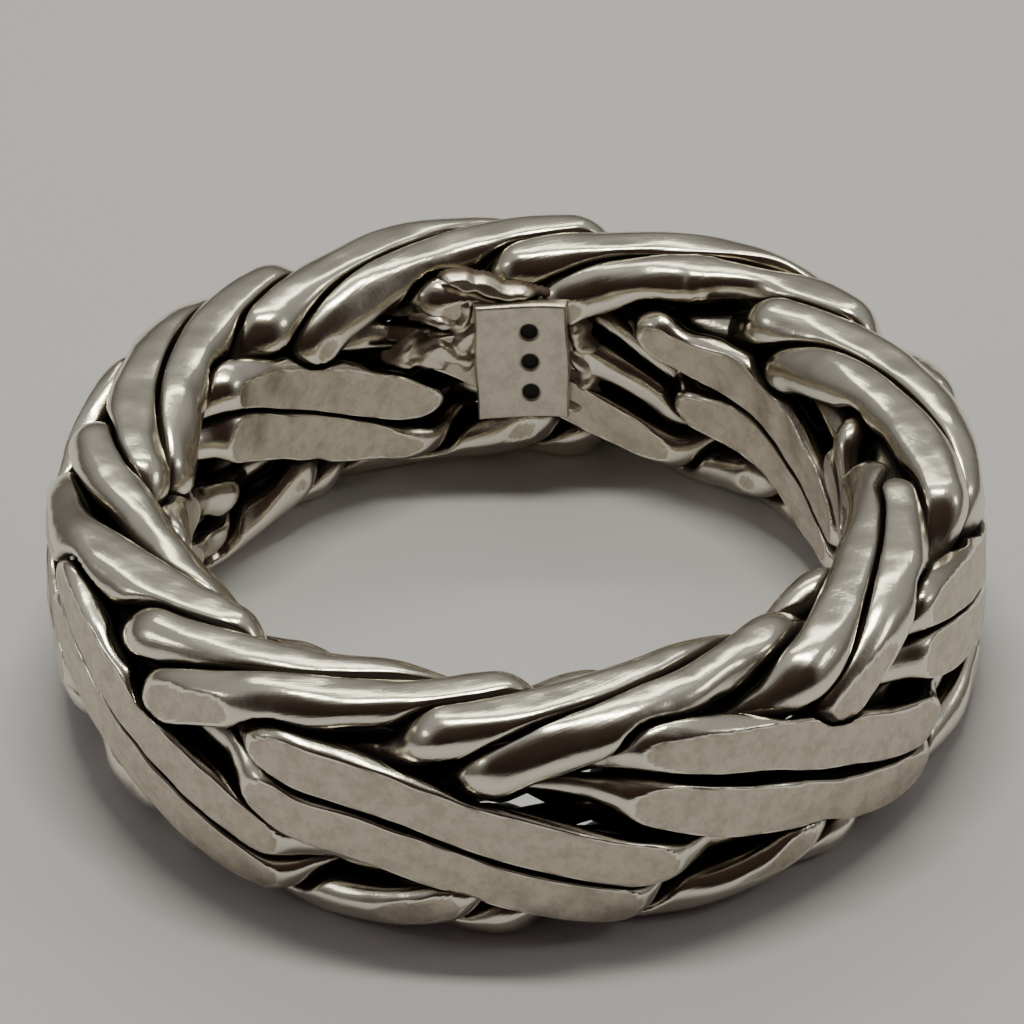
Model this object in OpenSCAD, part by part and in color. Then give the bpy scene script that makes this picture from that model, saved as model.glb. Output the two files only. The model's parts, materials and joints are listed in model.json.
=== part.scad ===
/* [Band] */
// Radius of the finger opening
bore_r = 9.5; // [8:0.1:11]
// Thickness of the band, from the finger opening to the outer face
band_t = 4.3; // [3.8:0.1:5.2]
// Height of the band along the finger
band_h = 7.5; // [6.6:0.1:8.6]
// How far the outer face falls back towards each rim
crown = 0.3; // [0:0.05:0.6]

/* [Wire] */
// Width of a wire, along the face that it lies on
wire_w = 1.65; // [1.3:0.05:1.9]
// Thickness of a wire, across the face that it lies on
wire_t = 1.34; // [1:0.02:1.5]
// Gap kept between wires that press on each other
wire_gap = 0.11; // [0.08:0.01:0.16]
// Share of its width and thickness that a wire loses where it runs under others
wire_taper = 0.25; // [0:0.01:0.3]

/* [Filing] */
// Depth filed off the wires on the outer face
file_out = 0.33; // [0.1:0.01:0.45]
// Depth filed off the wires in the finger opening
file_in = 0.33; // [0.1:0.01:0.45]
// Depth filed off the wires on the two rims
file_rim = 0.12; // [0.05:0.01:0.3]

/* [Braid] */
// Angle round the ring at which the first wall strand is at the middle of the outer face
wall_angle = 261; // [240:0.5:285]
// Angle from a wall strand's pass to the next rim strand's pass
rim_lag = 25; // [20:0.5:28]
// Angle between the two wires of a wall strand
wall_spread = 20; // [17:0.5:23]
// Angle between the two wires of a rim strand
rim_spread = 22; // [17:0.5:23]
// Share of that angle by which a wall strand's wires dive one after the other
wall_lead = 0; // [0:0.05:0.6]
// Share of that angle by which a rim strand's wires dive one after the other
rim_lead = 0.3; // [0:0.05:0.6]
// How much a wall strand slows its turn on top, in degrees
wall_slow = 8; // [0:0.5:10]
// How much a rim strand slows its turn on top, in degrees
rim_slow = 7; // [0:0.5:10]
// Angle round the band's section at which the strands change between over and under
change_angle = 42; // [40:0.5:46]
// Half of the turn in which a wire goes from over to under, in degrees
dive = 15; // [12:1:26]
// Share of the two depths below that is kept all the way round, so that the strands dive less
nesting = 0.22; // [0:0.01:0.35]
// Depth by which rim strands pass below the wall strands
wall_depth = 1.12; // [0.9:0.02:1.3]
// Depth by which wall strands pass below the rim strands
rim_depth = 1.6; // [1.2:0.05:1.9]
// How square the loop is that a strand winds on
squareness = 0.45; // [0.2:0.01:0.48]

/* [Mark plate] */
// Width of the plate round the finger opening
plate_w = 2.85; // [2:0.05:4]
// Height of the plate
plate_h = 4.1; // [3:0.1:5.5]
// Thickness of the plate
plate_t = 0.3; // [0.25:0.05:0.5]
// Height of the plate's middle over the middle of the band
plate_rise = 0.65; // [0:0.05:0.9]
// Angle round the ring at which the plate sits
plate_angle = 87.5; // [80:0.5:96]
// Gap between the plate and the filed wires behind it
plate_gap = 0.06; // [0.04:0.01:0.12]
// Depth of the punched marks
punch_depth = 0.1; // [0.05:0.01:0.15]
// Diameter of a punched mark
punch_d = 0.7; // [0.4:0.05:0.8]
// Distance between the punched marks
punch_step = 1.1; // [0.9:0.1:1.3]
// How far the solder runs out beside the plate
solder_run = 1.7; // [1:0.1:2.4]

/* [Hidden] */
// Strands of each hand, and turns that a strand makes round the band in one trip round the finger
STRANDS = 4;
TURNS = 2;
// Angle round the ring from one strand to the next of the same hand
step_angle = 360 / (STRANDS * TURNS);
// Wall strands lie on top on the outer face and in the opening, rim strands on the two rims
WALL = -1;
RIM = 1;
WIRES = [for (hand = [WALL, RIM]) for (strand = [0:STRANDS - 1]) for (side = [-1, 1]) [hand, strand, side]];
function wire_name(w) =
    str(w[0] == WALL ? "wall" : "rim", "_strand_", w[1] + 1, w[2] < 0 ? "_wire_a" : "_wire_b");

// Mesh of a wire: sides, rings in one turn of the strand, and how much the rings crowd at the dives
SIDES = 8;
RINGS = 30;
CROWDING = 0.35;
// An octagon this much larger than the oval that it stands for has the same area
fill_out = sqrt(2 * PI / (SIDES * sin(360 / SIDES)));
turn_angle = 360 / TURNS;

// Loop that the strands wind on, as half sizes where they lie over and under
mid_r = bore_r + band_t / 2 + (file_out - file_in) / 2;
wall_over = (band_t - wire_t + file_out + file_in) / 2;
rim_over = (band_h - wire_t) / 2 + file_rim;
wall_mean = wall_over - wall_depth / 2;
rim_mean = rim_over - rim_depth / 2;

// Sampling of the wires' centre lines, used to find what a wire presses on
SAMPLE = 0.75;
SAMPLES = 360 / SAMPLE;
REACH = 32;
NEAR = 2.4;
PRESSES = 5;
TANGENT_STEP = 0.4;

function clamped(v, low, high) = min(max(v, low), high);
function spun(p, a) = [p.x * cos(a) - p.y * sin(a), p.x * sin(a) + p.y * cos(a), p.z];
function squared(c) = c + squareness * c * (1 - c * c);
function unit(v) = v / norm(v);

// Angle round the band's own section at t degrees past the middle of a pass: 0 outside, 90 on top
function phase(hand, t) =
    let (slow = hand == WALL ? wall_slow : rim_slow, turned = TURNS * t - slow * sin(2 * TURNS * t))
    hand == WALL ? -turned : 90 + turned;

// 1 where a strand lies over, -1 where it lies under
function overness(hand, a) =
    let (off = (a % 180 + 270) % 180 - 90, u = clamped((change_angle - abs(off)) / dive, -1, 1))
    -hand * u * (1.5 - 0.5 * u * u);

function pass_angle(hand) = hand == WALL ? wall_angle : wall_angle + rim_lag;
function lag(hand, side) = side / 2 * (hand == WALL ? wall_spread : rim_spread);
function section_angle(hand, side, th) = phase(hand, th - pass_angle(hand) - lag(hand, side));
function section_over(hand, side, th) =
    let (lead = hand == WALL ? wall_lead : rim_lead)
    overness(hand, phase(hand, th - pass_angle(hand) - lead * lag(hand, side)));

// Centre of the first strand's wire at th degrees round the ring
function centre(hand, side, th) =
    let (a = section_angle(hand, side, th),
         depth = norm([wall_depth * cos(a), rim_depth * sin(a)]),
         swing = (1 - nesting) / 2 * depth * section_over(hand, side, th),
         half_wall = wall_mean - hand * nesting / 2 * wall_depth,
         half_rim = rim_mean + hand * nesting / 2 * rim_depth,
         r = mid_r + half_wall * squared(cos(a)) + swing * cos(a))
    [r * cos(th), r * sin(th), half_rim * squared(sin(a)) + swing * sin(a)];

function tangent(hand, side, th) =
    unit(centre(hand, side, th + TANGENT_STEP) - centre(hand, side, th - TANGENT_STEP));

// Centre lines and tangents of the four kinds of wire, sampled once
LINES = [for (hand = [WALL, RIM]) [for (side = [-1, 1])
    [for (i = [0:SAMPLES - 1]) [centre(hand, side, i * SAMPLE), tangent(hand, side, i * SAMPLE)]]]];

// Nearest sample of one other wire to the point p, as a point and a tangent
function nearest(line, p, th) =
    let (first = round(th / SAMPLE) - REACH,
         window = [for (i = [first:first + 2 * REACH]) line[(i + 2 * SAMPLES) % SAMPLES]],
         gaps = [for (s = window) norm(s[0] - p)])
    window[search(min(gaps), gaps)[0]];

// Straight stand-ins for all wires that pass close to the point p of the first strand's wire
function neighbours(hand, side, p, th) =
    [for (w = WIRES) if (w != [hand, 0, side])
        let (a = w[1] * step_angle,
             s = nearest(LINES[w[0] == WALL ? 0 : 1][w[2] < 0 ? 0 : 1], spun(p, -a), th - a),
             q = spun(s[0], a))
        if (norm(q - p) < NEAR) [q, spun(s[1], a)]];

// Reach of a wire from its centre c along e, pressed back to half way to each neighbour
function pressed(c, e, reach, near, n) =
    n == 0 ? reach :
    let (p = c + reach * e,
         push = min([0, for (q = near) norm(cross(p - q[0], q[1])) - reach - wire_gap]))
    pressed(c, e, reach + push / 2, near, n - 1);

// One section of a wire: its centre, the directions of its corners and their reaches
function section(hand, side, th) =
    let (c = centre(hand, side, th),
         a = section_angle(hand, side, th),
         along = tangent(hand, side, th),
         across = unit(cross(along, [cos(a) * cos(th), cos(a) * sin(th), sin(a)])),
         out = cross(across, along),
         size = fill_out * (1 - wire_taper * min(1, 1 - section_over(hand, side, th))),
         corners = [for (j = [0:SIDES - 1]) let (b = (j + 0.5) * 360 / SIDES)
             across * cos(b) * wire_w / 2 * size + out * sin(b) * wire_t / 2 * size],
         near = neighbours(hand, side, c, th))
    [c, [for (v = corners) unit(v)], [for (v = corners) pressed(c, unit(v), norm(v), near, PRESSES)]];

// The filed faces that every wire is kept between, with the lower rim at height 0
function filed(p) =
    let (r = norm([p.x, p.y]),
         z = clamped(p.z, -band_h / 2, band_h / 2),
         kept = clamped(r, bore_r, bore_r + band_t - crown * pow(2 * z / band_h, 2)))
    [p.x * kept / r, p.y * kept / r, z + band_h / 2];

// Angle of station i, with the stations closer together where the wires dive
function station(hand, i) =
    let (u = i * turn_angle / RINGS)
    pass_angle(hand) + u + CROWDING * sin(2 * TURNS * 2 * u) / (4 * TURNS) * 180 / PI;

// Corner points of the rings over one turn; a ring reaches no further than the wire does half a step away
function turn_points(hand, side) =
    let (s = [for (i = [0:2 * RINGS - 1]) section(hand, side, station(hand, i / 2))], n = 2 * RINGS)
    [for (i = [0:2:n - 1]) [for (j = [0:SIDES - 1])
        filed(s[i][0] + s[i][1][j] * min(s[i][2][j], s[(i + 1) % n][2][j], s[(i + n - 1) % n][2][j]))]];

module wire(w) {
    turn = turn_points(w[0], w[2]);
    count = TURNS * RINGS;
    points = [for (k = [0:TURNS - 1]) for (ring = turn) for (p = ring) spun(p, k * turn_angle)];
    faces = [for (i = [0:count - 1]) for (j = [0:SIDES - 1])
        let (next = (i + 1) % count, side = (j + 1) % SIDES,
             a = i * SIDES + j, b = i * SIDES + side, c = next * SIDES + side, d = next * SIDES + j)
        each [[a, b, c], [a, c, d]]];
    color("silver")
    rotate([0, 0, w[1] * step_angle])
    polyhedron(points, faces);
}

// A thin shell on the wall of the finger opening, cut to a block w wide from height low to high
module lining(w, low, high, offset = 0) {
    outer = bore_r - plate_gap;
    intersection() {
        difference() {
            cylinder(h = 2 * band_h, r = outer, $fn = 128);
            translate([0, 0, -1]) cylinder(h = 2 * band_h + 2, r = outer - plate_t, $fn = 128);
        }
        translate([0, offset - w / 2, low]) cube([2 * bore_r, w, high - low]);
    }
}

// Curved plate in the finger opening, with the solder beside it and three plain round punch marks
module mark_plate() {
    mid = band_h / 2 + plate_rise;
    low = mid - plate_h / 2;
    high = mid + plate_h / 2;
    color("gainsboro")
    rotate([0, 0, plate_angle])
    difference() {
        union() {
            lining(plate_w, low, high);
            lining(solder_run, mid - plate_h * 0.1, mid + plate_h * 0.22, (plate_w + solder_run) / 2 - 0.1);
            lining(solder_run * 0.6, mid + plate_h * 0.2, high - plate_t,
                   (plate_w + solder_run * 0.6) / 2 - 0.1);
        }
        for (k = [-1:1])
            translate([bore_r - plate_gap - plate_t + punch_depth, 0, mid + k * punch_step])
            rotate([0, -90, 0])
            cylinder(h = 1, d = punch_d, $fn = 24);
    }
}

for (w = WIRES) wire(w);
mark_plate();
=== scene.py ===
"""Braided band ring: the silver wires, the mark plate and its solder, on a plain pale surface.

Lengths are in millimetres in the sizes and in the meshing, and become metres when a mesh is made.
Angles are in degrees. The frame's origin is at the middle of the lower rim, with +Z up.
"""
from __future__ import annotations

import json
import logging
import math
from dataclasses import dataclass, field
from enum import Enum
from typing import Any, Iterator

import bmesh
import bpy
import numpy as np
from mathutils import Matrix, Vector
from mathutils.bvhtree import BVHTree

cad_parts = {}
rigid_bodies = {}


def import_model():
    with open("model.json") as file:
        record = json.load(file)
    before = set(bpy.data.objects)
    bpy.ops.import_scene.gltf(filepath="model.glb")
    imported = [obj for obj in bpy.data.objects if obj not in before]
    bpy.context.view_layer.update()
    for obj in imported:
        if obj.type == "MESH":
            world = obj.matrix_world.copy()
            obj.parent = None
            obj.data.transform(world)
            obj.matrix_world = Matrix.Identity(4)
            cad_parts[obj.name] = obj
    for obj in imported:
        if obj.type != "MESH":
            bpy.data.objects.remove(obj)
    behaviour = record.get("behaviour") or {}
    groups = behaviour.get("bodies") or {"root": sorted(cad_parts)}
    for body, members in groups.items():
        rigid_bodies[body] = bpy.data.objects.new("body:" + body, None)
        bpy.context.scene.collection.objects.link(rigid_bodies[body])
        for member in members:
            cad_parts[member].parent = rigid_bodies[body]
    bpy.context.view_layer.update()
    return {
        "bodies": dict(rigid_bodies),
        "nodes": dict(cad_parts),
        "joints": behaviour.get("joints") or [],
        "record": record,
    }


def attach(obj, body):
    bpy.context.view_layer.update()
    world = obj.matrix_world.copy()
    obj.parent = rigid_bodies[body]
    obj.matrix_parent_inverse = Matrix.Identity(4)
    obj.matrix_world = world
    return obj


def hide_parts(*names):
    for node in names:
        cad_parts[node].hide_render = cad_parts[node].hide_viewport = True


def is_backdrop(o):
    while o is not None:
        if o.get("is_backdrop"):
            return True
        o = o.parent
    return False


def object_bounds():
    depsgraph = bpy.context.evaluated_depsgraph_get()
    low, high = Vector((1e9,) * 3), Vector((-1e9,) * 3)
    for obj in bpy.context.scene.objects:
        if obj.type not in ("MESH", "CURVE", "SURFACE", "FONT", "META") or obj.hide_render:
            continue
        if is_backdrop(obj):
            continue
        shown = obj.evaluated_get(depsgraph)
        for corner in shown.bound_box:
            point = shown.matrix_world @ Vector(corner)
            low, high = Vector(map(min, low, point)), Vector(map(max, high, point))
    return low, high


LOG = logging.getLogger("braided_ring")
METRES = 0.001
SEED = 41
BODY = "root"
TURN = 360
FULL_MESH = (600, 44)


class Hand(Enum):
    """Which faces of the band a strand lies on top on."""

    WALL = -1
    RIM = 1


@dataclass(frozen=True)
class Lay:
    """How the strands of one hand run round the band.

    Args:
        angle: angle round the ring at which the first strand is at the middle of its pass.
        spread: angle between the two wires of a strand.
        lead: share of the spread by which the wires dive one after the other.
        slow: how much a strand slows its turn on top.
    """

    angle: float
    spread: float
    lead: float
    slow: float


@dataclass
class BraidSizes:
    """Sizes of the braid, in millimetres and degrees, as in the ring's construction.

    Args:
        bore_r: radius of the finger opening.
        outer_r: outer radius at mid height.
        band_h: height of the band.
        crown: fall of the outer face at its edges.
        wire_w: width of a wire.
        wire_t: thickness of a wire.
        wire_gap: gap between pressed wires.
        wire_taper: share by which a wire thins under others.
        file_out: metal filed off the outer face.
        file_in: metal filed off in the opening.
        file_rim: metal filed off each rim.
        change_angle: section angle of the change of levels.
        dive: section angle that the change takes.
        nesting: share by which the hands' loops sit apart.
        wall_depth: depth between levels on the walls.
        rim_depth: depth between levels on the rims.
        squareness: how square the strands' loop is.
        turns: turns of a strand round the band's section.
        strands: strands of each hand.
        lays: how each hand's strands run.
    """

    bore_r: float
    outer_r: float
    band_h: float
    crown: float = 0.3
    wire_w: float = 1.65
    wire_t: float = 1.34
    wire_gap: float = 0.1
    wire_taper: float = 0.25
    file_out: float = 0.33
    file_in: float = 0.33
    file_rim: float = 0.12
    change_angle: float = 42.0
    dive: float = 11.0
    nesting: float = 0.22
    wall_depth: float = 1.12
    rim_depth: float = 1.6
    squareness: float = 0.45
    turns: int = 2
    strands: int = 4
    lays: dict[Hand, Lay] = field(default_factory=lambda: {
        Hand.WALL: Lay(261.0, 20.0, 0.0, 8.0),
        Hand.RIM: Lay(286.0, 22.0, 0.3, 7.0),
    })

    @classmethod
    def from_frame(cls, frame: dict[str, Any]) -> "BraidSizes":
        """Takes the opening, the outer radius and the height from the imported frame.


        Returns:
            The sizes.
        """
        mounts = {mount["name"]: mount for mount in frame["record"]["mounts"]}
        low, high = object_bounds()
        opening = mounts["finger_opening"]["dims"]["r_mm"]
        return cls(bore_r=opening, outer_r=high[0] / METRES, band_h=(high[2] - low[2]) / METRES)

    @property
    def step(self) -> float:
        """Angle from one strand to the next of the same hand."""
        return TURN / (self.strands * self.turns)

    @property
    def band_t(self) -> float:
        """Thickness of the band."""
        return self.outer_r - self.bore_r


@dataclass(frozen=True)
class Wire:
    """One wire of a strand, and the node that it stands for."""

    hand: Hand
    strand: int
    side: int

    @property
    def node(self) -> str:
        """Name of the wire's node in the frame."""
        letter = "a" if self.side < 0 else "b"
        return f"{self.hand.name.lower()}_strand_{self.strand + 1}_wire_{letter}"


@dataclass(frozen=True)
class Pull:
    """A place where a wire strays from the even pattern.

    Args:
        hand: the strand's hand.
        strand: the strand, counted from 0.
        side: the wire of the strand, or 0 for both.
        at: angle round the ring at which the pull is strongest, in degrees.
        reach: angle over which it fades.
        turn: angle by which the wire is turned round the band's section.
        late: angle by which the wire changes level later.
        out: how far it is moved away from the ring's axis, in millimetres.
        thick: share by which it is thicker.
    """

    hand: Hand
    strand: int
    side: int
    at: float
    reach: float
    turn: float = 0.0
    late: float = 0.0
    out: float = 0.0
    thick: float = 0.0

    def strength(self, wire: "Wire", th: np.ndarray) -> np.ndarray:
        """How much of the pull a wire feels at the angles th."""
        if (wire.hand, wire.strand) != (self.hand, self.strand) or wire.side == -self.side:
            return np.zeros_like(th)
        away = np.mod(th - self.at + TURN / 2, TURN) - TURN / 2
        return np.exp(-(away / self.reach) ** 2)


# The columns without names are the hand, the strand, the wire's side, the angle and the reach.
PULLS = (
    Pull(Hand.RIM, 0, 0, 206, 15, out=-0.35),
    Pull(Hand.RIM, 0, 1, 268, 9, out=-0.22),
    Pull(Hand.RIM, 0, 1, 298, 12, late=-9, thick=-0.15),
    Pull(Hand.RIM, 1, -1, 272, 8, thick=-0.5),
    Pull(Hand.RIM, 1, -1, 308, 12, turn=-14, late=3),
    Pull(Hand.RIM, 1, 1, 312, 12, turn=-8),
    Pull(Hand.RIM, 1, -1, 352, 14, turn=-22, late=8),
    Pull(Hand.RIM, 1, 1, 350, 14, turn=4, late=-9),
    Pull(Hand.RIM, 2, -1, 192, 16, turn=15, thick=-0.1),
    Pull(Hand.RIM, 2, 1, 189, 10, turn=-10),
    Pull(Hand.RIM, 2, 1, 202, 18, thick=0.12),
    Pull(Hand.RIM, 3, 1, 226, 14, turn=-3, thick=0.1),
    Pull(Hand.RIM, 3, -1, 50, 7, turn=-5, thick=-0.22),
    Pull(Hand.RIM, 3, -1, 57, 0.9, thick=0.09),
    Pull(Hand.RIM, 3, -1, 59.2, 0.9, thick=0.08),
    Pull(Hand.WALL, 0, 1, 239, 9, turn=-19, late=-1),
    Pull(Hand.WALL, 0, -1, 239, 9, turn=-14, late=-2),
    Pull(Hand.WALL, 0, 1, 290, 10, late=3),
    Pull(Hand.WALL, 0, 0, 158, 12, out=0.45, thick=-0.3),
    Pull(Hand.WALL, 0, -1, 5, 10, turn=20, thick=-0.6),
    Pull(Hand.WALL, 1, 1, 300, 16, turn=6),
    Pull(Hand.WALL, 1, -1, 273, 6, thick=-0.5),
    Pull(Hand.WALL, 1, -1, 292, 10, turn=-2),
    Pull(Hand.WALL, 1, 0, 56, 12, turn=14, late=4),
    Pull(Hand.WALL, 1, -1, 65, 12, turn=28, late=3, thick=-0.12),
    Pull(Hand.WALL, 1, 1, 65, 12, turn=16, late=-9, thick=-0.2),
    Pull(Hand.WALL, 2, -1, 66, 14, out=0.35, thick=-0.3),
    Pull(Hand.WALL, 2, -1, 191, 9, out=-0.3),
    Pull(Hand.WALL, 3, -1, 99, 7, turn=-8, thick=-0.4),
    Pull(Hand.WALL, 3, 1, 103, 6, turn=-4, thick=-0.2),
)


def spun(points: np.ndarray, angle: float) -> np.ndarray:
    """Turns points about the ring's axis.

    Args:
        points: array whose last axis is x, y, z.
        angle: the turn, in degrees.

    Returns:
        The turned points.
    """
    a = math.radians(angle)
    turn = np.array([[math.cos(a), math.sin(a), 0], [-math.sin(a), math.cos(a), 0], [0, 0, 1]])
    return points @ turn


def units(vectors: np.ndarray) -> np.ndarray:
    """Scales vectors to length one."""
    return vectors / np.linalg.norm(vectors, axis=-1, keepdims=True)


def soft_min(a: np.ndarray, b: np.ndarray | float, blend: float) -> np.ndarray:
    """Lesser of two values, with the corner between them rounded over the blend's length."""
    h = np.clip(0.5 + 0.5 * (b - a) / blend, 0, 1)
    return b * (1 - h) + a * h - blend * h * (1 - h)


def smooth(values: np.ndarray, low: float, high: float) -> np.ndarray:
    """Runs from 0 at low to 1 at high with soft ends."""
    t = np.clip((values - low) / (high - low), 0, 1)
    return t * t * (3 - 2 * t)


class BraidPath:
    """Where the wires' centre lines run, with height 0 at the middle of the band."""

    TANGENT_STEP = 0.4

    def __init__(self, sizes: BraidSizes) -> None:
        """Works out the loop that the strands wind on."""
        self.sizes = s = sizes
        self.mid_r = s.bore_r + s.band_t / 2 + (s.file_out - s.file_in) / 2
        wall_over = (s.band_t - s.wire_t + s.file_out + s.file_in) / 2
        rim_over = (s.band_h - s.wire_t) / 2 + s.file_rim
        self.wall_mean = wall_over - s.wall_depth / 2
        self.rim_mean = rim_over - s.rim_depth / 2

    def phase(self, hand: Hand, t: np.ndarray) -> np.ndarray:
        """Angle round the band's own section at t degrees past a pass: 0 outside, 90 on top."""
        turns = self.sizes.turns
        turned = turns * t - self.sizes.lays[hand].slow * np.sin(np.radians(2 * turns * t))
        return -turned if hand is Hand.WALL else 90 + turned

    def squared(self, c: np.ndarray) -> np.ndarray:
        """Makes a round loop squarer."""
        return c + self.sizes.squareness * c * (1 - c * c)

    def past_pass(self, wire: Wire, th: np.ndarray) -> np.ndarray:
        """Angle round the ring from the middle of the strand's pass to th."""
        return th - self.sizes.lays[wire.hand].angle - wire.strand * self.sizes.step

    def pulled(self, wire: Wire, th: np.ndarray, kind: str) -> np.ndarray:
        """Sum of one kind of pull on a wire at the angles th."""
        return sum(getattr(pull, kind) * pull.strength(wire, th) for pull in PULLS)

    def section_angle(self, wire: Wire, th: np.ndarray) -> np.ndarray:
        """Angle of a wire round the band's section at th degrees round the ring."""
        even = self.past_pass(wire, th) - wire.side / 2 * self.sizes.lays[wire.hand].spread
        return self.phase(wire.hand, even) + self.pulled(wire, th, "turn")

    def overness(self, wire: Wire, th: np.ndarray) -> np.ndarray:
        """1 where a wire lies over the other hand's strands, -1 where it lies under them."""
        lay = self.sizes.lays[wire.hand]
        late = lay.lead * wire.side / 2 * lay.spread + self.pulled(wire, th, "late")
        a = self.phase(wire.hand, self.past_pass(wire, th) - late)
        u = np.clip((self.sizes.change_angle - np.abs(np.mod(a + 90, 180) - 90)) / self.sizes.dive, -1, 1)
        return -wire.hand.value * u * (1.5 - 0.5 * u * u)

    def centre(self, wire: Wire, th: np.ndarray) -> np.ndarray:
        """Centre points of a wire at the angles th."""
        s = self.sizes
        a = np.radians(self.section_angle(wire, th))
        c, v = np.cos(a), np.sin(a)
        swing = (1 - s.nesting) / 2 * np.hypot(s.wall_depth * c, s.rim_depth * v) * self.overness(wire, th)
        half_wall = self.wall_mean - wire.hand.value * s.nesting / 2 * s.wall_depth
        half_rim = self.rim_mean + wire.hand.value * s.nesting / 2 * s.rim_depth
        r = self.mid_r + half_wall * self.squared(c) + swing * c + self.pulled(wire, th, "out")
        z = half_rim * self.squared(v) + swing * v
        return np.stack([r * np.cos(np.radians(th)), r * np.sin(np.radians(th)), z], -1)

    def tangent(self, wire: Wire, th: np.ndarray) -> np.ndarray:
        """Directions of a wire at the angles th."""
        h = self.TANGENT_STEP
        return units(self.centre(wire, th + h) - self.centre(wire, th - h))


@dataclass
class HandWork:
    """How far the hand-made wires stray from even ones, in millimetres or as shares.

    Args:
        swell: share by which a wire's size varies along it.
        dents: share by which its section varies round and along it.
        file_wave: depth by which the filed faces vary.
        groove: length over which a wire's side rounds into the face pressed by its neighbour.
        wall_edge: rounding of the filed edges on the walls.
        rim_edge: rounding of the polished edges on the rims.
        outer_shift: where the outer face's waves start.
        inner_shift: where the waves of the face in the opening start.
        swell_counts: how many swells a wire has.
        dent_counts: how many dents a wire has.
    """

    swell: float = 0.055
    dents: float = 0.065
    file_wave: float = 0.09
    groove: float = 0.13
    wall_edge: float = 0.035
    rim_edge: float = 0.14
    outer_shift: float = 0.4
    inner_shift: float = 1.9
    swell_counts: range = range(5, 19)
    dent_counts: range = range(9, 34)


@dataclass
class WireSkin:
    """A wire's surface as a grid of points, rings by sides, with what its finish needs."""

    wire: Wire
    points: np.ndarray
    filed: np.ndarray
    flow: np.ndarray
    open_air: np.ndarray | None = None


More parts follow.
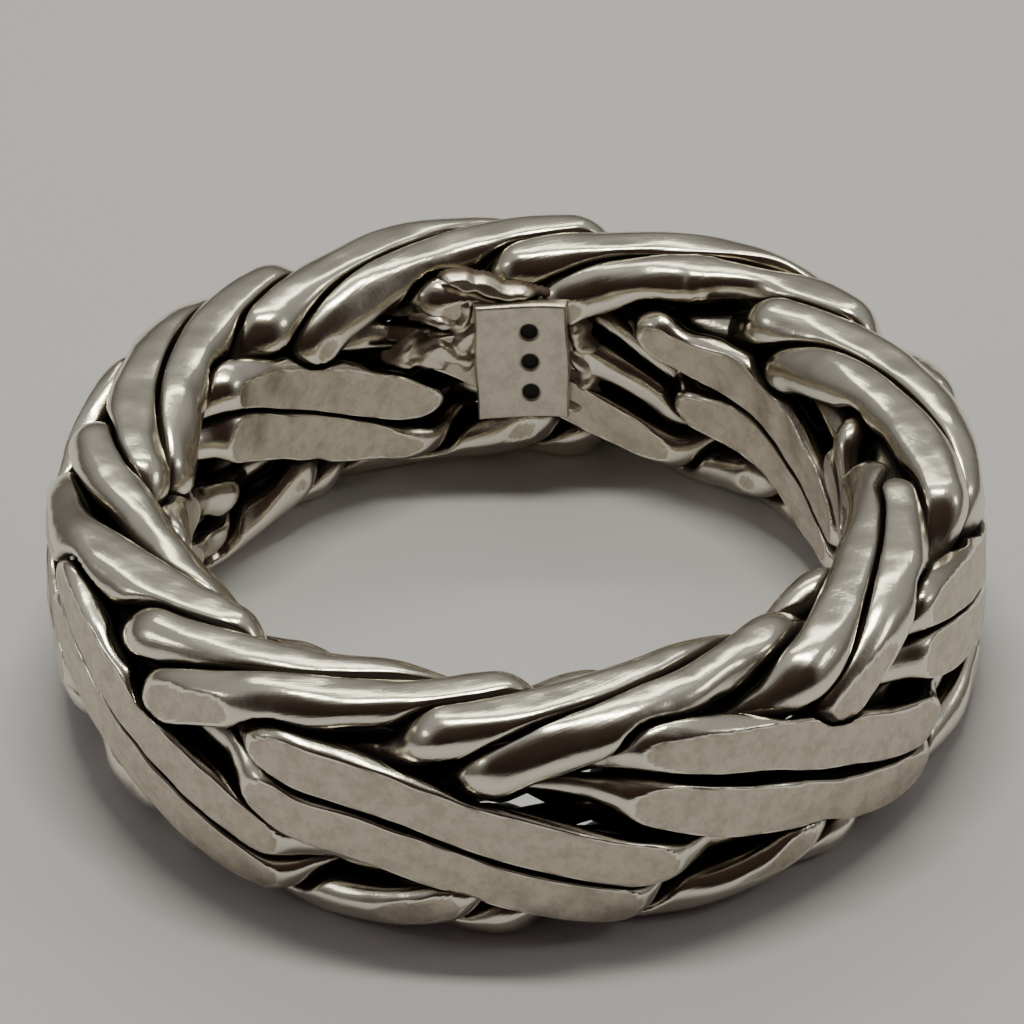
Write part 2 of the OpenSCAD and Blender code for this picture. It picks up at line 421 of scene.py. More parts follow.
class Braider:
    """Works out the skins of all wires, pressed on each other and filed to the band's faces.

    SAMPLE is the angle between samples of the centre lines, WINDOW how many samples each way are searched for
    a neighbour, and NEAR how close its centre line has to be. A section starts SPARE times too large, is
    pressed PRESSES times by GIVE of what is too much, and keeps LEAST of its size.
    """

    SAMPLE = 0.75
    WINDOW = 32
    NEAR = 2.6
    PRESSES = 6
    SPARE = 1.12
    GIVE = 0.5
    LEAST = 0.25

    def __init__(self, sizes: BraidSizes, work: HandWork, rings: int, sides: int) -> None:
        """Samples the centre lines.

        Args:
            sizes: the braid's sizes.
            work: the hand-made unevenness.
            rings: sections along a wire.
            sides: corners of a section.
        """
        self.sizes, self.work, self.rings, self.sides = sizes, work, rings, sides
        self.path = BraidPath(sizes)
        self.rng = np.random.default_rng(SEED)
        fine = np.arange(0, TURN, self.SAMPLE)
        path = self.path
        self.lines = {wire: (path.centre(wire, fine), path.tangent(wire, fine)) for wire in self.wires()}

    def wires(self) -> Iterator[Wire]:
        """All wires of the braid."""
        for hand in Hand:
            for strand in range(self.sizes.strands):
                for side in (-1, 1):
                    yield Wire(hand, strand, side)

    def ripple(self, u: np.ndarray, counts: range) -> np.ndarray:
        """Uneven closed curve between about -1 and 1 along u, which runs from 0 to 1."""
        total = np.zeros_like(u)
        for count in counts:
            total += self.rng.normal() * np.sin(2 * math.pi * (count * u + self.rng.random()))
        return total / math.sqrt(len(counts))

    def neighbours(
        self, wire: Wire, centre: np.ndarray, th: np.ndarray
    ) -> list[tuple[np.ndarray, np.ndarray, np.ndarray]]:
        """Nearest point and tangent of each other wire, for the sections where it is near.

        Args:
            wire: the wire that is being pressed.
            centre: its centre points.
            th: its angles.

        Returns:
            For each near wire, a mask of sections, and the points and tangents there.
        """
        near = []
        window = np.arange(-self.WINDOW, self.WINDOW + 1)
        first = np.round(th / self.SAMPLE).astype(int)
        for other, (line, along) in self.lines.items():
            if other == wire:
                continue
            index = (first[:, None] + window) % len(line)
            gaps = np.linalg.norm(line[index] - centre[:, None], axis=-1)
            nearest = index[np.arange(len(th)), gaps.argmin(1)]
            close = gaps.min(1) < self.NEAR
            if close.any():
                near.append((close, line[nearest][close], along[nearest][close]))
        return near

    def file_wave(self, points: np.ndarray, shift: float) -> np.ndarray:
        """How deep a file has gone below the highest face at the points, uneven with the given shift."""
        x, y, z = points[..., 0], points[..., 1], points[..., 2]
        wave = np.sin(3 * x + shift) * np.sin(2.6 * y + 2 * shift) * np.cos(1.7 * z + shift)
        return self.work.file_wave * (0.5 + 0.5 * wave)

    def filing(self, points: np.ndarray) -> tuple[np.ndarray, np.ndarray]:
        """Files the points to the band's faces.

        Args:
            points: skin of a wire, in its place round the ring, height 0 at mid band.

        Returns:
            The filed points, and how much of a filed wall face each point is, from 0 to 1.
        """
        s, w = self.sizes, self.work
        half = s.band_h / 2
        r = np.hypot(points[..., 0], points[..., 1])
        z = points[..., 2]
        height = soft_min(np.abs(z), half, w.rim_edge)
        z_new = np.sign(z) * np.minimum(height, half)
        outer = s.outer_r - s.crown * (z_new / half) ** 2 - self.file_wave(points, w.outer_shift)
        inner = s.bore_r + self.file_wave(points, w.inner_shift)
        cut = soft_min(r, outer, w.wall_edge)
        cut = -soft_min(-cut, -inner, w.wall_edge)
        filed = smooth(np.abs(r - cut), 0.3 * w.wall_edge, 1.2 * w.wall_edge)
        scale = cut / r
        return np.stack([points[..., 0] * scale, points[..., 1] * scale, z_new], -1), filed

    def free_section(self, wire: Wire, u: np.ndarray) -> tuple[np.ndarray, np.ndarray]:
        """Works out a wire's sections before it is pressed, at places u from 0 to 1.

        Returns:
            Directions from the centre line to the sections' corners, and how far the corners are.
        """
        s, w, path = self.sizes, self.work, self.path
        th = TURN * u
        along = path.tangent(wire, th)
        a, t = np.radians(path.section_angle(wire, th)), np.radians(th)
        normal = np.stack([np.cos(a) * np.cos(t), np.cos(a) * np.sin(t), np.sin(a)], -1)
        across = units(np.cross(along, normal))
        out = np.cross(across, along)
        size = 1 - s.wire_taper * np.minimum(1, 1 - path.overness(wire, th))
        size = size * (1 + w.swell * self.ripple(u, w.swell_counts) + path.pulled(wire, th, "thick"))
        b = 2 * math.pi * (np.arange(self.sides) / self.sides) - math.pi / 2
        corners = (across[:, None] * (s.wire_w / 2 * size[:, None] * np.cos(b))[..., None]
                   + out[:, None] * (s.wire_t / 2 * size[:, None] * np.sin(b))[..., None])
        free = np.linalg.norm(corners, axis=-1)
        way = corners / free[..., None]
        for corner_count in range(2, 5):
            dent = self.ripple(u, w.dent_counts)[:, None] * np.cos(corner_count * b + self.rng.random() * 6)
            free = free * (1 + w.dents / corner_count * dent)
        return way, free

    def pressed(self, wire: Wire, u: np.ndarray, way: np.ndarray, free: np.ndarray) -> np.ndarray:
        """Shortens the free distances of the sections' corners until the wire stays off its neighbours."""
        centre = self.path.centre(wire, TURN * u)
        reach = free * self.SPARE
        near = self.neighbours(wire, centre, TURN * u)
        for _ in range(self.PRESSES):
            push = np.zeros_like(reach)
            points = centre[:, None] + way * reach[..., None]
            for close, line, tangent in near:
                along = np.broadcast_to(tangent[:, None], points[close].shape)
                away = np.linalg.norm(np.cross(points[close] - line[:, None], along), axis=-1)
                push[close] = np.minimum(push[close], away - reach[close] - self.sizes.wire_gap)
            reach = reach + self.GIVE * push
        return np.maximum(np.minimum(soft_min(free, reach, self.work.groove), reach), self.LEAST * free)

    def skin(self, wire: Wire) -> WireSkin:
        """Works out one wire's skin, in its place, with height 0 at the lower rim."""
        u = np.arange(self.rings) / self.rings
        centre = self.path.centre(wire, TURN * u)
        way, free = self.free_section(wire, u)
        reach = self.pressed(wire, u, way, free)
        points, filed = self.filing(centre[:, None] + way * reach[..., None])
        points[..., 2] += self.sizes.band_h / 2
        length = np.linalg.norm(np.roll(centre, -1, 0) - centre, axis=1)
        run = np.concatenate([[0], np.cumsum(length)])
        return WireSkin(wire, points, filed, run)


class AirProbe:
    """Measures how open to the air each point of the skins is, which tells where tarnish stays.

    RAYS rays start LIFT above every STRIDE-th point and meet a copy of the braid thinned by OCCLUDER. A ray
    that meets nothing within FAR millimetres counts fully, and one that meets metal up to PARTLY.
    """

    STRIDE = (2, 2)
    OCCLUDER = (3, 2)
    LIFT = 0.05
    FAR = 3.2
    RAYS = 20
    PARTLY = 0.6
    FALL = 0.7
    SLANT = (0.31, 0.52, 0.8)

    def __init__(self, skins: list[WireSkin]) -> None:
        """Builds a coarse copy of all wires to cast rays against."""
        vertices: list[np.ndarray] = []
        faces: list[np.ndarray] = []
        count = 0
        for skin in skins:
            grid = skin.points[::self.OCCLUDER[0], ::self.OCCLUDER[1]]
            vertices.append(grid.reshape(-1, 3))
            faces.append(grid_faces(*grid.shape[:2]) + count)
            count += grid.shape[0] * grid.shape[1]
        self.tree = BVHTree.FromPolygons(np.concatenate(vertices).tolist(), np.concatenate(faces).tolist())
        self.fan = self.directions()

    def directions(self) -> np.ndarray:
        """Even fan of directions about +Z, denser where light counts more."""
        k = np.arange(self.RAYS) + 0.5
        tilt = np.arcsin(np.sqrt(k / self.RAYS))
        turn = k * math.pi * (3 - math.sqrt(5))
        return np.stack([np.sin(tilt) * np.cos(turn), np.sin(tilt) * np.sin(turn), np.cos(tilt)], -1)

    def measure(self, skin: WireSkin) -> np.ndarray:
        """Casts the fan from each point of a thinned grid and spreads the result over the skin.

        Args:
            skin: the wire's skin.

        Returns:
            Openness of each point, 0 in a closed crevice and 1 in free air.
        """
        normals = grid_normals(skin.points)
        thin = (slice(None, None, self.STRIDE[0]), slice(None, None, self.STRIDE[1]))
        points, normals = skin.points[thin], normals[thin]
        side = units(np.cross(normals, np.array(self.SLANT)))
        up = np.cross(normals, side)
        starts = points + normals * self.LIFT
        result = np.zeros(points.shape[:2])
        cast = self.tree.ray_cast
        for tilt in self.fan:
            ways = side * tilt[0] + up * tilt[1] + normals * tilt[2]
            for i, (row, way_row) in enumerate(zip(starts.tolist(), ways.tolist())):
                for j, (start, way) in enumerate(zip(row, way_row)):
                    hit = cast(start, way, self.FAR)[3]
                    result[i, j] += 1.0 if hit is None else (hit / self.FAR) ** self.FALL * self.PARTLY
        result /= self.RAYS
        rows = np.repeat(result, self.STRIDE[0], axis=0)[:skin.points.shape[0]]
        full = np.repeat(rows, self.STRIDE[1], axis=1)[:, :skin.points.shape[1]]
        for axis in (0, 1):
            full = (np.roll(full, 1, axis) + 2 * full + np.roll(full, -1, axis)) / 4
        return full


def grid_faces(rings: int, sides: int) -> np.ndarray:
    """Quads of a closed grid that joins on in both directions, facing outwards."""
    i, j = np.divmod(np.arange(rings * sides), sides)
    i2, j2 = (i + 1) % rings, (j + 1) % sides
    return np.stack([i * sides + j, i2 * sides + j, i2 * sides + j2, i * sides + j2], 1)


def open_grid_faces(columns: int, rows: int) -> np.ndarray:
    """Quads of a grid with four edges, facing the side from which columns and rows turn right."""
    i, j = np.meshgrid(np.arange(columns - 1), np.arange(rows - 1), indexing="ij")
    first = (i * rows + j).ravel()
    return np.stack([first, first + rows, first + rows + 1, first + 1], 1)


def grid_normals(points: np.ndarray) -> np.ndarray:
    """Outward normals of a closed grid's points."""
    ahead = np.roll(points, -1, 0) - np.roll(points, 1, 0)
    around = np.roll(points, -1, 1) - np.roll(points, 1, 1)
    return units(np.cross(ahead, around) + 1e-12)


class Num:
    """A number that varies over a surface, as a link that Python's operators work on."""

    def __init__(self, nodes: "Nodes", link: Any) -> None:
        """Wraps an output socket of one of the nodes."""
        self.nodes, self.link = nodes, link

    def _math(self, operation: str, first: Any, second: Any) -> "Num":
        """Adds a Math node."""
        node = self.nodes.node("ShaderNodeMath", {"operation": operation}, {0: first, 1: second})
        return Num(self.nodes, node.outputs[0])

    def __add__(self, other: Any) -> "Num":
        """Sum."""
        return self._math("ADD", self, other)

    __radd__ = __add__

    def __mul__(self, other: Any) -> "Num":
        """Product."""
        return self._math("MULTIPLY", self, other)

    __rmul__ = __mul__

    def __sub__(self, other: Any) -> "Num":
        """Difference."""
        return self._math("SUBTRACT", self, other)

    def __rsub__(self, other: Any) -> "Num":
        """Difference, the other way round."""
        return self._math("SUBTRACT", other, self)

    def limits(self, low: float, high: float) -> "Num":
        """Runs from 0 at low to 1 at high with soft ends."""
        values = {"Value": self, "From Min": low, "From Max": high}
        node = self.nodes.node("ShaderNodeMapRange", {"interpolation_type": "SMOOTHSTEP"}, values)
        return Num(self.nodes, node.outputs["Result"])


Colour = tuple[float, float, float]


class Nodes:
    """The nodes of one tree, of a material or of the world."""

    def __init__(self, tree: bpy.types.NodeTree) -> None:
        """Takes the tree that the nodes go into."""
        self.tree = tree

    def node(
        self, kind: str, settings: dict[str, Any] | None = None, values: dict[Any, Any] | None = None
    ) -> Any:
        """Adds any node.

        Args:
            kind: the node's type.
            settings: its properties, such as an operation, or a ramp's stops as pairs of place and colour.
            values: values or links of its input sockets, by name or place.

        Returns:
            The node.
        """
        node = self.tree.nodes.new(kind)
        for name, value in (settings or {}).items():
            if name == "stops":
                node.color_ramp.interpolation = "EASE"
                for element, (place, colour) in zip(node.color_ramp.elements, value):
                    element.position = place
                    element.color = (*colour, 1)
            else:
                setattr(node, name, value)
        for name, value in (values or {}).items():
            self.set(node.inputs[name], value)
        return node

    def set(self, socket: Any, value: Any) -> None:
        """Gives an input socket a value or a link."""
        if isinstance(value, Num):
            self.tree.links.new(value.link, socket)
        elif isinstance(value, bpy.types.NodeSocket):
            self.tree.links.new(value, socket)
        elif isinstance(value, tuple) and len(value) == 3 and socket.type == "RGBA":
            socket.default_value = (*value, 1)
        else:
            socket.default_value = value

    def mix(self, factor: Any, first: Any, second: Any, blend: str = "MIX") -> Any:
        """Mixes two colours."""
        node = self.node("ShaderNodeMix", {"data_type": "RGBA", "blend_type": blend})
        for place, value in ((0, factor), (6, first), (7, second)):
            self.set(node.inputs[place], value)
        return node.outputs[2]

    def ramp(self, value: Any, low: tuple[float, Colour], high: tuple[float, Colour]) -> Any:
        """Turns a number into a colour between two stops, each a place and a colour."""
        return self.node("ShaderNodeValToRGB", {"stops": (low, high)}, {"Fac": value}).outputs["Color"]


class Finish(Nodes):
    """The nodes of one material."""

    def __init__(self, name: str) -> None:
        """Makes a material with a plain shader."""
        self.material = bpy.data.materials.new(name)
        self.material.use_nodes = True
        super().__init__(self.material.node_tree)
        self.shader = self.tree.nodes["Principled BSDF"]

    def attribute(self, name: str) -> Num:
        """Reads a number kept on the mesh."""
        return Num(self, self.node("ShaderNodeAttribute", {"attribute_name": name}).outputs["Fac"])

    def place(self, output: str, scale: tuple[float, float, float]) -> Any:
        """Place on the object, from an output of Texture Coordinate, scaled along each axis."""
        place = self.node("ShaderNodeTexCoord").outputs[output]
        return self.node("ShaderNodeVectorMath", {"operation": "MULTIPLY"}, {0: place, 1: scale}).outputs[0]

    def millimetres(self, x: float = 1.0, y: float = 1.0, z: float = 1.0) -> Any:
        """Place in the object in millimetres, scaled along each axis."""
        return self.place("Object", (x / METRES, y / METRES, z / METRES))

    def flow(self, along: float, across: float) -> Any:
        """Place along and round a wire in millimetres, scaled."""
        return self.place("UV", (along, across, 1.0))

    def noise(self, place: Any, scale: float, detail: float = 3.0, rough: float = 0.55) -> Num:
        """Cloudy noise between 0 and 1."""
        values = {"Vector": place, "Scale": scale, "Detail": detail, "Roughness": rough}
        return Num(self, self.node("ShaderNodeTexNoise", None, values).outputs["Fac"])

    def bump(self, height: Num, depth: float, strength: float, after: Any = None) -> Any:
        """Adds a bump whose full height is depth metres."""
        values = {"Height": height, "Distance": depth, "Strength": strength}
        if after is not None:
            values["Normal"] = after
        return self.node("ShaderNodeBump", None, values).outputs["Normal"]

    def shade(self, **sockets: Any) -> bpy.types.Material:
        """Sets the shader's sockets, with spaces in their names written as underscores."""
        for name, value in sockets.items():
            self.set(self.shader.inputs[name.replace("_", " ")], value)
        return self.material


@dataclass(frozen=True)
class WireSilver:
    """Silver of the wires: polished where round, satin where filed, black where nothing rubs it, with a
    painted highlight along the filed flats' edges.
    """

    silver: Colour = (0.88, 0.835, 0.73)
    flat: Colour = (0.71, 0.635, 0.53)
    worn_flat: Colour = (0.56, 0.495, 0.41)
    # Painted highlight: a paler colour than the metal, laid along the edges of the filed flats.
    edge: Colour = (0.93, 0.88, 0.77)
    brown: Colour = (0.13, 0.085, 0.06)
    black: Colour = (0.035, 0.03, 0.026)
    black_below: float = 0.43
    clean_above: float = 0.62
    haze_reach: tuple[float, float] = (-0.12, 0.2)
    hammer_depth: float = 0.12 * METRES
    furrow_depth: float = 0.09 * METRES
    draw_depth: float = 0.008 * METRES
    grain_depth: float = 0.01 * METRES

    def material(self) -> bpy.types.Material:
        """Builds the material."""
        g = Finish("wire_silver")
        place = g.millimetres()
        air, filed = g.attribute("open_air"), g.attribute("filed")
        cloud = g.noise(place, 0.7, 4.0)
        grain = g.noise(place, 5.0, 4.0, 0.65)
        worn = air + 0.16 * (cloud - 0.5) + 0.1 * (grain - 0.5)
        clean = worn.limits(self.black_below, self.clean_above)
        haze = worn.limits(*(self.clean_above + reach for reach in self.haze_reach))
        mottle = g.noise(place, 2.2, 6.0, 0.75).limits(0.36, 0.6)
        # Band along the filed flats' edges: it carries a painted highlight in the colour and a real, lower
        # roughness.
        edge = (filed * (1 - filed) * 4).limits(0.2, 0.9)
        metal = g.mix(filed, self.silver, g.mix(mottle, self.worn_flat, self.flat))
        # Painted highlight: where the metal is clean, the edge band takes the paler edge colour.
        metal = g.mix(edge * clean, metal, self.edge)
        toned = g.mix(haze, self.brown, metal)
        colour = g.mix(clean, self.black, toned)
        draw = g.noise(g.flow(0.5, 14.0), 1.0, 3.0)
        furrow = g.noise(g.flow(0.22, 1.5), 1.0, 1.0, 0.3)
        rub = g.noise(g.flow(3.0, 22.0), 1.0, 2.0)
        polish = 0.09 + 0.13 * cloud + 0.05 * draw
        satin = 0.28 + 0.12 * cloud + 0.12 * rub - 0.1 * edge
        rough = polish + filed * (satin - polish)
        rough = rough + (1 - clean) * 0.35
        hammered = g.noise(place, 0.8, 1.0, 0.3)
        normal = g.bump(hammered, self.hammer_depth, 0.6)
        normal = g.bump(furrow * (1 - 0.7 * filed), self.furrow_depth, 0.5, normal)
        normal = g.bump(draw, self.draw_depth, 0.5, normal)
        normal = g.bump(grain, self.grain_depth, 0.6, normal)
        return g.shade(Base_Color=colour, Metallic=0.25 + 0.75 * clean, Roughness=rough, Normal=normal)


@dataclass(frozen=True)
class PlateSilver:
    """Silver of the plate, satin and finely scratched, and of the solder, bright, lumpy and stained."""

    sheet: Colour = (0.74, 0.68, 0.58)
    melt: Colour = (0.8, 0.74, 0.63)
    brown: Colour = (0.13, 0.09, 0.07)
    black: Colour = (0.02, 0.018, 0.016)
    smudged: float = 0.82
    grain_depth: float = 0.02 * METRES
    scratch_depth: float = 0.016 * METRES

    def material(self) -> bpy.types.Material:
        """Builds the material."""
        g = Finish("plate_silver")
        place = g.millimetres()
        dark, melted = g.attribute("dark"), g.attribute("melted")
        cloud = g.noise(place, 1.1, 4.0)
        grain = g.noise(place, 7.0, 4.0, 0.65)
        scratch = g.noise(g.millimetres(22, 22, 0.9), 1.0, 3.0)
        stain = (dark + 0.5 * melted * (cloud - 0.35)).limits(0.15, 0.6)
        smudge = g.noise(place, 1.7, 5.0, 0.7).limits(0.38, 0.6)
        dull = tuple(self.smudged * channel for channel in self.sheet)
        clean = g.mix(melted, g.mix(smudge, dull, self.sheet), self.melt)
        colour = g.mix(stain, clean, g.mix(melted, self.black, self.brown))
        rough = 0.32 + 0.16 * scratch - 0.1 * melted + 0.25 * stain
        normal = g.bump(grain, self.grain_depth, 0.5)
        normal = g.bump(scratch, self.scratch_depth, 0.5, normal)
        return g.shade(Base_Color=colour, Metallic=1 - 0.6 * stain, Roughness=rough, Normal=normal)


@dataclass
class WireBraid:
    """The sixteen wires of the band.

    Args:
        sizes: the braid's sizes.
        work: the hand-made unevenness.
        rings: sections along a wire.
        sides: corners of a section.
        girth: length round a wire, in millimetres, which scales the marks of drawing.
    """

    sizes: BraidSizes
    work: HandWork
    rings: int
    sides: int
    girth: float = 4.8

    def mesh(self, skin: WireSkin) -> bpy.types.Mesh:
        """Makes one wire's mesh, in metres, with its attributes."""
        rings, sides = skin.points.shape[:2]
        faces = grid_faces(rings, sides)
        mesh = bpy.data.meshes.new(skin.wire.node + "_skin")
        mesh.from_pydata((skin.points.reshape(-1, 3) * METRES).tolist(), [], faces.tolist())
        mesh.polygons.foreach_set("use_smooth", np.ones(len(faces), bool))
        for name, values in (("open_air", skin.open_air), ("filed", skin.filed)):
            attribute = mesh.attributes.new(name, "FLOAT", "POINT")
            attribute.data.foreach_set("value", np.ascontiguousarray(values, np.float32).ravel())
        i, j = np.divmod(np.arange(rings * sides), sides)
        round_step = 1.0 / sides * self.girth
        corners = ((0, 0), (1, 0), (1, 1), (0, 1))
        uv = np.stack([np.stack([skin.flow[i + di], (j + dj) * round_step], -1) for di, dj in corners], 1)
        mesh.uv_layers.new(name="flow").data.foreach_set("uv", uv.astype(np.float32).ravel())
        mesh.validate()
        return mesh

    def build(self, material: bpy.types.Material) -> None:
        """Makes all wires and puts each in its node's place.

        Args:
            material: the wires' finish.
        """
        braider = Braider(self.sizes, self.work, self.rings, self.sides)
        skins = [braider.skin(wire) for wire in braider.wires()]
        LOG.info("skins of %d wires", len(skins))
        probe = AirProbe(skins)
        for skin in skins:
            skin.open_air = probe.measure(skin)
            piece = place_piece(skin.wire.node + "_silver", self.mesh(skin), material)
            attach(piece, BODY)
            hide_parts(skin.wire.node)
            LOG.info("piece %s", piece.name)


def place_piece(name: str, mesh: bpy.types.Mesh, material: bpy.types.Material) -> bpy.types.Object:
    """Adds an object with one material to the scene.

    Args:
        name: the object's name.
        mesh: its mesh.
        material: its finish.

    Returns:
        The object.
    """
    mesh.materials.append(material)
    piece = bpy.data.objects.new(name, mesh)
    bpy.context.scene.collection.objects.link(piece)
    return piece


@dataclass(frozen=True)
class SolderLump:
    """One lump of the solder beside the plate, in millimetres from the plate's middle.

    Args:
        across: distance to the left, as seen from inside.
        up: height.
        half_w: half its width.
        half_h: half its height.
        lean: its lean, in degrees.
        rise: how far it stands up in its middle.
    """

    across: float
    up: float
    half_w: float
    half_h: float
    lean: float
    rise: float


@dataclass
class MarkPlate:
    """Curved plate in the finger opening with three plain punch marks, soldered to the wires.

    Args:
        rise: height of the plate's middle over mid band.
        angle: angle round the ring at which the plate sits.
        width: width round the opening.
        gap: gap between the plate's back and the wires.
        edge: rounding of the plate's edges.
        grid: size of a face of the mesh.
        bulge: bulge of the plate's sides.
        waver: waver of its sides.
        slope: waver of its ends.
        warp: unevenness of its face.
        punch_r: radius of a punch mark.
        punch_step: distance between marks.
        punch_depth: depth of a mark.
        punch_lip: height of the lip round a mark.
        punch_shift: distance of the marks from the middle.
        solder_span: where the solder may lie, to the right and left of the plate's middle.
        solder_rise: where it may lie, below and above the middle.
        solder_back: distance of its flat side behind the opening's wall.
        solder_top: how much further back that is above the plate.
        solder_proud: how far it may stand out from the plate's back.
        solder_edge: thickness of its edge.
        wander: unevenness of the lumps' outlines.
        ripple: unevenness of the outlines, finer.
        crackle: height of the finest unevenness.
        blend: length over which lumps join.
        lumps: the lumps of the solder.
    """

    bore_r: float
    band_h: float
    rise: float = 0.65
    angle: float = 87.5
    width: float = 2.85
    height: float = 4.1
    thickness: float = 0.3
    gap: float = 0.06
    edge: float = 0.07
    grid: float = 0.04
    bulge: float = 0.035
    waver: float = 0.02
    slope: float = 0.03
    warp: float = 0.012
    punch_r: float = 0.34
    punch_step: float = 1.1
    punch_depth: float = 0.1
    punch_lip: float = 0.012
    punch_shift: float = 0.25
    solder_span: tuple[float, float] = (-4.4, 2.6)
    solder_rise: tuple[float, float] = (-2.5, 3.0)
    solder_back: float = 0.3
    solder_top: float = 0.35
    solder_proud: float = 0.12
    solder_edge: float = 0.02
    wander: float = 0.35
    ripple: float = 0.05
    crackle: float = 0.015
    blend: float = 0.08
    lumps: tuple[SolderLump, ...] = (
        SolderLump(-2.75, 0.35, 1.45, 0.72, -12.0, 0.5),
        SolderLump(-1.6, 0.6, 0.8, 1.75, 8.0, 0.5),
        SolderLump(-1.85, 2.7, 0.6, 0.2, -8.0, 0.55),
        SolderLump(-1.2, 2.45, 1.15, 0.3, -20.0, 0.62),
        SolderLump(-0.2, 2.2, 1.1, 0.22, -6.0, 0.5),
        SolderLump(-2.4, 1.45, 0.95, 0.26, -14.0, 0.48),
        SolderLump(1.7, 0.0, 0.55, 1.7, 6.0, 0.46),
        SolderLump(1.3, -1.8, 0.8, 0.3, -16.0, 0.42),
    )

    def on_wall(self, across: np.ndarray, up: np.ndarray, radii: tuple[np.ndarray, ...]) -> np.ndarray:
        """Points on the wall of the opening.

        Args:
            across: distance round the opening from the plate's middle, to the left as seen from inside.
            up: height over the plate's middle.
            radii: radius of each point, once for each side of a skin.

        Returns:
            The points in the ring's place, one side after the other.
        """
        turn, z = -across / self.bore_r, up + (self.band_h / 2 + self.rise)
        sides = [np.stack([r * np.cos(turn), r * np.sin(turn), z], -1) for r in radii]
        return np.concatenate([spun(side, self.angle).reshape(-1, 3) for side in sides])

    def sheet(self) -> tuple[np.ndarray, np.ndarray, np.ndarray]:
        """Makes the plate: a front with rounded edges and dents, a flat back and four narrow sides.

        Returns:
            Points, faces, and how dark each point is.
        """
        columns, rows = int(self.width / self.grid), int(self.height / self.grid)
        x, y = np.meshgrid(np.linspace(-0.5, 0.5, columns), np.linspace(-0.5, 0.5, rows), indexing="ij")
        bulge = self.bulge * np.cos(math.pi * y) * np.sign(x) + self.waver * np.sin(9 * y + 4 * x)
        across = x * self.width + bulge * np.abs(2 * x) ** 3
        up = y * self.height + self.slope * np.sin(5 * x) * np.abs(2 * y) ** 3
        inset = np.minimum((0.5 - np.abs(x)) * self.width, (0.5 - np.abs(y)) * self.height)
        bevel = np.clip(self.edge - inset, 0, self.edge)
        face = self.bore_r - self.gap - self.thickness
        front = face + self.edge - np.sqrt(self.edge ** 2 - bevel ** 2)
        front += self.warp * np.sin(2.1 * across + 0.6) * np.cos(1.3 * up)
        dark = np.zeros_like(x)
        for k in (-1, 0, 1):
            away = np.hypot(across - self.punch_shift, up - k * self.punch_step) / self.punch_r
            dent = 1 - smooth(away, 0.55, 1.0)
            lip = np.exp(-((away - 1.12) / 0.12) ** 2)
            front += self.punch_depth * dent - self.punch_lip * lip
            dark = np.maximum(dark, dent)
        back = np.full_like(front, self.bore_r - self.gap)
        quads = open_grid_faces(columns, rows)
        count = columns * rows
        ring = np.concatenate([
            np.arange(columns) * rows,
            (columns - 1) * rows + np.arange(1, rows),
            np.arange(columns - 2, -1, -1) * rows + rows - 1,
            np.arange(rows - 2, 0, -1),
        ])
        after = np.roll(ring, -1)
        sides = np.stack([ring, ring + count, after + count, after], 1)
        faces = np.concatenate([quads, quads[:, ::-1] + count, sides])
        return self.on_wall(across, up, (front, back)), faces, np.concatenate([dark.ravel(), np.zeros(count)])

    def solder(self) -> tuple[np.ndarray, np.ndarray, np.ndarray]:
        """Makes the solder as one lens-shaped skin over all lumps.

        Returns:
            Points, faces, and how dark each point is.
        """
        span, rise = (np.arange(*ends, self.grid) for ends in (self.solder_span, self.solder_rise))
        across, up = np.meshgrid(span, rise, indexing="ij")
        wander = np.sin(4.1 * across + 2.3 * np.sin(2.9 * up)) * np.sin(3.7 * up + 1.7 * np.cos(3.3 * across))
        fine = np.sin(11 * across + 3 * np.sin(7 * up)) * np.sin(9 * up + 2 * np.cos(8 * across))
        rise = np.full_like(across, -1.0)
        for lump in self.lumps:
            lean = math.radians(lump.lean)
            dx, dy = across - lump.across, up - lump.up
            along = (dx * math.cos(lean) + dy * math.sin(lean)) / lump.half_w
            over = (dy * math.cos(lean) - dx * math.sin(lean)) / lump.half_h
            away = along ** 2 + over ** 2 + self.wander * wander + self.ripple * fine
            rise = -soft_min(-rise, -lump.rise * (1 - away), self.blend)
        rise = rise + self.crackle * fine
        reach = self.bore_r + self.solder_back + self.solder_top * smooth(up, 1.9, 3.0)
        rise = soft_min(rise, self.solder_back + self.gap + self.solder_proud, self.blend)
        inside = rise > 0
        use = (inside[:-1, :-1] | inside[1:, :-1] | inside[1:, 1:] | inside[:-1, 1:]).ravel()
        quads = open_grid_faces(*across.shape)[use]
        front = reach - np.maximum(rise, 0)
        back = reach + self.solder_edge * np.clip(rise, 0, 1)
        dark = np.clip(0.75 - 2.2 * np.maximum(rise, 0), 0, 1).ravel()
        faces = np.concatenate([quads, quads[:, ::-1] + across.size])
        return self.on_wall(across, up, (front, back)), faces, np.concatenate([dark, dark])

    def build(self, material: bpy.types.Material) -> None:
        """Makes the plate and its solder as one piece.

        Args:
            material: their finish.
        """
        work = bmesh.new()
        dark_layer = work.verts.layers.float.new("dark")
        melt_layer = work.verts.layers.float.new("melted")
        for melted, (points, faces, dark) in enumerate((self.sheet(), self.solder())):
            used = np.unique(faces)
            made = {}
            for index in used.tolist():
                vertex = work.verts.new(points[index] * METRES)
                vertex[dark_layer] = dark[index]
                vertex[melt_layer] = melted
                made[index] = vertex
            for face in faces.tolist():
                work.faces.new([made[index] for index in face]).smooth = True
        bmesh.ops.remove_doubles(work, verts=work.verts, dist=1e-7)
        mesh = bpy.data.meshes.new("mark_plate_skin")
        work.to_mesh(mesh)
        work.free()
        mesh.validate()
        piece = place_piece("mark_plate_silver", mesh, material)
        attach(piece, BODY)
        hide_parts("mark_plate")
        LOG.info("piece %s", piece.name)


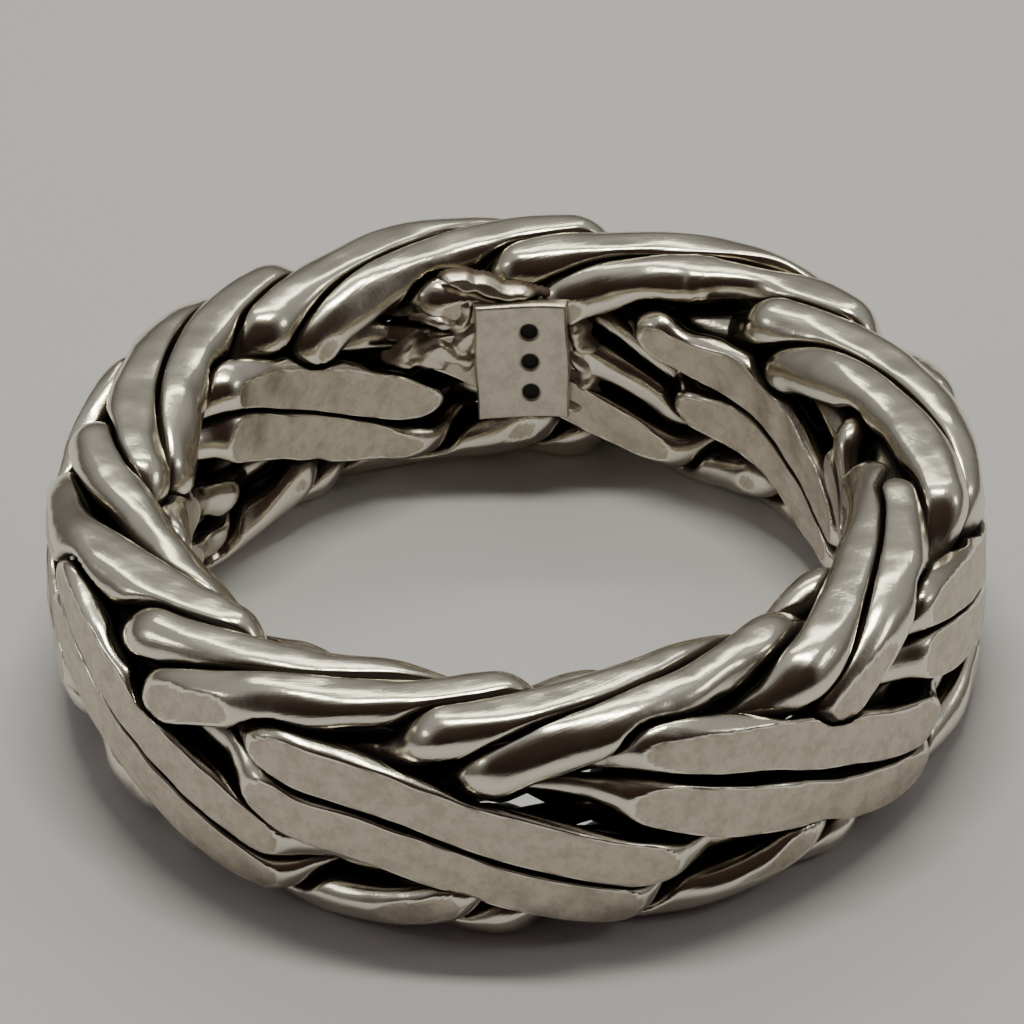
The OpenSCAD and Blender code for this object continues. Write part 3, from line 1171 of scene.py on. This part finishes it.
@dataclass(frozen=True)
class Shot:
    """The photo's camera, in millimetres and degrees, aimed at a point over the ring's middle."""

    distance: float = 200.0
    elevation: float = 35.7
    pixels_per_mm: float = 34.1
    image: int = 1024
    sensor: float = 36.0
    aim: tuple[float, float, float] = (-0.08, 0.75, 4.85)
    roll: float = -2.2

    def build(self) -> None:
        """Makes the camera."""
        data = bpy.data.cameras.new("camera")
        data.sensor_width = self.sensor
        data.lens = self.pixels_per_mm * self.distance * self.sensor / self.image
        data.clip_start = METRES
        camera = bpy.data.objects.new("camera", data)
        bpy.context.scene.collection.objects.link(camera)
        lift, roll = math.radians(self.elevation), math.radians(self.roll)
        back = Vector((0, -math.cos(lift), math.sin(lift)))
        right = Vector((1, 0, 0))
        up = back.cross(right)
        rolled_right = right * math.cos(roll) + up * math.sin(roll)
        rolled_up = up * math.cos(roll) - right * math.sin(roll)
        camera.matrix_world = Matrix((rolled_right, rolled_up, back)).transposed().to_4x4()
        camera.matrix_world.translation = (Vector(self.aim) + back * self.distance) * METRES
        bpy.context.scene.camera = camera


@dataclass(frozen=True)
class Softbox:
    """A rectangular light, in metres and watts, that shines at the ring."""

    name: str
    place: tuple[float, float, float]
    size: tuple[float, float]
    power: float
    tint: Colour = (0.98, 0.98, 0.79)

    def build(self) -> None:
        """Makes the light."""
        data = bpy.data.lights.new(self.name, "AREA")
        data.shape = "RECTANGLE"
        (data.size, data.size_y), data.energy, data.color = self.size, self.power, self.tint
        lamp = bpy.data.objects.new(self.name, data)
        lamp.location = self.place
        lamp.rotation_euler = (-Vector(self.place)).to_track_quat("-Z", "Y").to_euler()
        bpy.context.scene.collection.objects.link(lamp)


@dataclass
class Studio:
    """The pale surface, the room's light and the lamps.

    Args:
        half_floor: half the surface's width, in metres.
        room_low: light from the room at eye level.
        room_high: light from overhead.
        high_from: height of a direction at which room_high is reached.
        dark_side: what is left of the light in the viewer's direction.
        side_from: cosine of the angle to the viewer at which it darkens.
        side_full: cosine at which it is darkest.
    """

    half_floor: float = 0.6
    floor_colour: Colour = (0.715, 0.7, 0.765)
    room_low: Colour = (0.1, 0.09, 0.08)
    room_high: Colour = (0.33, 0.325, 0.315)
    high_from: float = 0.85
    room_strength: float = 1.0
    dark_side: Colour = (0.1, 0.06, 0.052)
    side_from: float = 0.35
    side_full: float = 0.82
    lamps: tuple[Softbox, ...] = (
        Softbox("lamp_over", (0.005, 0.045, 0.26), (0.12, 0.026), 0.345),
        Softbox("lamp_behind", (0.0, 0.17, 0.2), (0.18, 0.025), 0.09),
        Softbox("lamp_right", (0.22, -0.02, 0.17), (0.05, 0.04), 0.035),
        Softbox("lamp_left", (-0.26, -0.02, 0.17), (0.05, 0.04), 0.035),
    )

    def floor(self) -> None:
        """Lays the surface that the ring lies on."""
        h = self.half_floor
        mesh = bpy.data.meshes.new("surface")
        mesh.from_pydata([(-h, -h, 0), (h, -h, 0), (h, h, 0), (-h, h, 0)], [], [(0, 1, 2, 3)])
        g = Finish("pale_surface")
        cloud = g.noise(g.place("Object", (40, 40, 40)), 1.0, 2.0)
        low = tuple(c * 0.97 for c in self.floor_colour)
        material = g.shade(Base_Color=g.mix(cloud, low, self.floor_colour), Roughness=0.75)
        place_piece("surface", mesh, material)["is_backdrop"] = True

    def room(self) -> None:
        """Sets the light that comes from the room: dim at eye level, brighter above, dark at the viewer."""
        world = bpy.data.worlds.new("room")
        world.use_nodes = True
        nodes = Nodes(world.node_tree)
        lift = math.radians(Shot().elevation)
        viewer = (0.0, -math.cos(lift), math.sin(lift))
        way = nodes.node("ShaderNodeTexCoord").outputs["Generated"]
        facing = nodes.node("ShaderNodeVectorMath", {"operation": "DOT_PRODUCT"}, {0: way, 1: viewer})
        height = nodes.node("ShaderNodeSeparateXYZ", None, {0: way}).outputs["Z"]
        rise = nodes.ramp(height, (0.0, self.room_low), (self.high_from, self.room_high))
        open_side, dark_side = (self.side_from, (1, 1, 1)), (self.side_full, self.dark_side)
        shade = nodes.ramp(facing.outputs["Value"], open_side, dark_side)
        background = world.node_tree.nodes["Background"]
        nodes.set(background.inputs["Color"], nodes.mix(1, rise, shade, "MULTIPLY"))
        nodes.set(background.inputs["Strength"], self.room_strength)
        bpy.context.scene.world = world

    def build(self) -> None:
        """Makes the surface, the room and the lamps."""
        self.floor()
        self.room()
        for lamp in self.lamps:
            lamp.build()


def main() -> None:
    """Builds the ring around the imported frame."""
    logging.basicConfig(level=logging.INFO, format="%(name)s: %(message)s")
    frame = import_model()
    Shot().build()
    Studio().build()
    sizes = BraidSizes.from_frame(frame)
    rings, sides = FULL_MESH
    WireBraid(sizes, HandWork(), rings, sides).build(WireSilver().material())
    MarkPlate(sizes.bore_r, sizes.band_h).build(PlateSilver().material())


if __name__ == "__main__":
    main()
